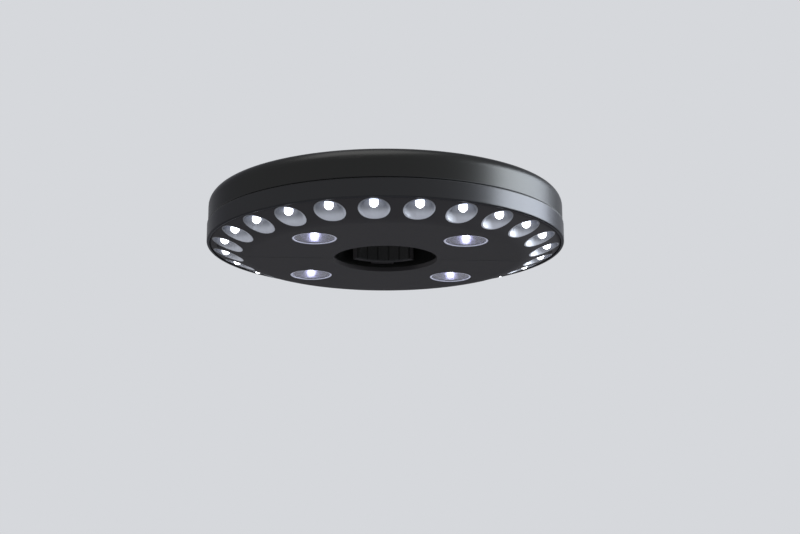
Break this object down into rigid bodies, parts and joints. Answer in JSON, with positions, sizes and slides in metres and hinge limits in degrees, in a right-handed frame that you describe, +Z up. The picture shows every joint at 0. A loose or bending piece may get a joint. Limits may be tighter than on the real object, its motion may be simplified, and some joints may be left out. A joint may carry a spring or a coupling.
{
  "type": "patio umbrella light",
  "caption": "Round battery light that clamps round an umbrella pole, with ring lights and spot lights facing down, two sliding halves and hanging bails.",
  "frame": {"origin": "on the pole's axis, at the height of the seam between casing and rim band", "axes": "+Z up along the pole; -Y is the half that slides out, +Y the half with the power button"},
  "size_m": [0.216, 0.216, 0.037],
  "materials": {
    "casing_paint": "satin metallic paint",
    "band_paint": "satin metallic paint",
    "face_plastic": "fine matt",
    "satin_cup": "satin metallised",
    "led_epoxy": "clear epoxy",
    "circuit_board": "solder mask",
    "clear_lens": "polished",
    "mirror_dish": "metallised",
    "spring_steel": "drawn wire",
    "black_plastic": "moulded",
    "cell_sleeve": "printed sleeve, plain",
    "contact_plate": "nickel plated",
    "screw_steel": "zinc plated",
    "wire_sleeve": "soft sleeve",
    "rod_steel": "ground",
    "brass": "stamped",
    "bronze": "sintered",
    "pad_rubber": "matt",
    "bail_wire": "bright wire",
    "button_rubber": "matt"
  },
  "bodies": {
    "rear_half": {"rear_casing": "casing_paint", "rear_rim_band": "band_paint", "rear_face_plate": "face_plastic", "rear_cup_ring": "satin_cup", "rear_ring_leds": "led_epoxy", "rear_ring_board": "circuit_board", "rear_spot_lenses": "clear_lens", "rear_spot_reflectors": "mirror_dish", "rear_spot_leds": "led_epoxy", "rear_spot_boards": "circuit_board", "rear_jaw_spring": "spring_steel", "rear_battery_tray": "black_plastic", "rear_cells": "cell_sleeve", "rear_contacts": "contact_plate", "rear_screws": "screw_steel", "rear_wires": "wire_sleeve", "guide_rods": "rod_steel", "rod_terminals": "brass", "guide_springs": "spring_steel", "control_board": "circuit_board", "push_switch": "black_plastic", "button_spring": "spring_steel"},
    "front_half": {"front_casing": "casing_paint", "front_rim_band": "band_paint", "front_face_plate": "face_plastic", "front_cup_ring": "satin_cup", "front_ring_leds": "led_epoxy", "front_ring_board": "circuit_board", "front_spot_lenses": "clear_lens", "front_spot_reflectors": "mirror_dish", "front_spot_leds": "led_epoxy", "front_spot_boards": "circuit_board", "front_jaw_spring": "spring_steel", "front_battery_tray": "black_plastic", "front_cells": "cell_sleeve", "front_contacts": "contact_plate", "front_screws": "screw_steel", "front_wires": "wire_sleeve", "rod_bushes": "bronze"},
    "rear_jaw_slider": {"rear_jaw": "black_plastic", "rear_jaw_pad": "pad_rubber"},
    "front_jaw_slider": {"front_jaw": "black_plastic", "front_jaw_pad": "pad_rubber"},
    "rear_door": {"rear_battery_door": "casing_paint"},
    "front_door": {"front_battery_door": "casing_paint"},
    "rear_bail_wire": {"rear_bail": "bail_wire"},
    "front_bail_wire": {"front_bail": "bail_wire"},
    "power_button": {"power_button": "button_rubber"}
  },
  "joints": [
    {"name": "front_half_slide", "type": "slide", "parent": "rear_half", "child": "front_half", "axis": [0, -1, 0], "range_m": [0, 0.03], "stiffness_N_per_m": 200, "springref_m": -0.02, "deforming": ["guide_springs"]},
    {"name": "rear_jaw_slide", "type": "slide", "parent": "rear_half", "child": "rear_jaw_slider", "axis": [0, -1, 0], "range_m": [-0.0027, 0.0113], "stiffness_N_per_m": 300, "deforming": ["rear_jaw_spring"]},
    {"name": "front_jaw_slide", "type": "slide", "parent": "front_half", "child": "front_jaw_slider", "axis": [0, 1, 0], "range_m": [-0.0027, 0.0113], "stiffness_N_per_m": 300, "deforming": ["front_jaw_spring"]},
    {"name": "rear_door_hinge", "type": "hinge", "parent": "rear_half", "child": "rear_door", "pos_m": [0, 0.04825, 0.016], "axis": [1, 0, 0], "range_deg": [0, 90]},
    {"name": "front_door_hinge", "type": "hinge", "parent": "front_half", "child": "front_door", "pos_m": [0, -0.04825, 0.016], "axis": [-1, 0, 0], "range_deg": [0, 90]},
    {"name": "rear_bail_hinge", "type": "hinge", "parent": "rear_half", "child": "rear_bail_wire", "pos_m": [0, 0.08305, 0.0159], "axis": [1, 0, 0], "range_deg": [0, 95]},
    {"name": "front_bail_hinge", "type": "hinge", "parent": "front_half", "child": "front_bail_wire", "pos_m": [0, -0.08305, 0.0159], "axis": [-1, 0, 0], "range_deg": [0, 95]},
    {"name": "power_button_press", "type": "slide", "parent": "rear_half", "child": "power_button", "axis": [0, -1, 0], "range_m": [0, 0.0012], "stiffness_N_per_m": 400, "springref_m": -0.0005, "deforming": ["button_spring"]}
  ]
}
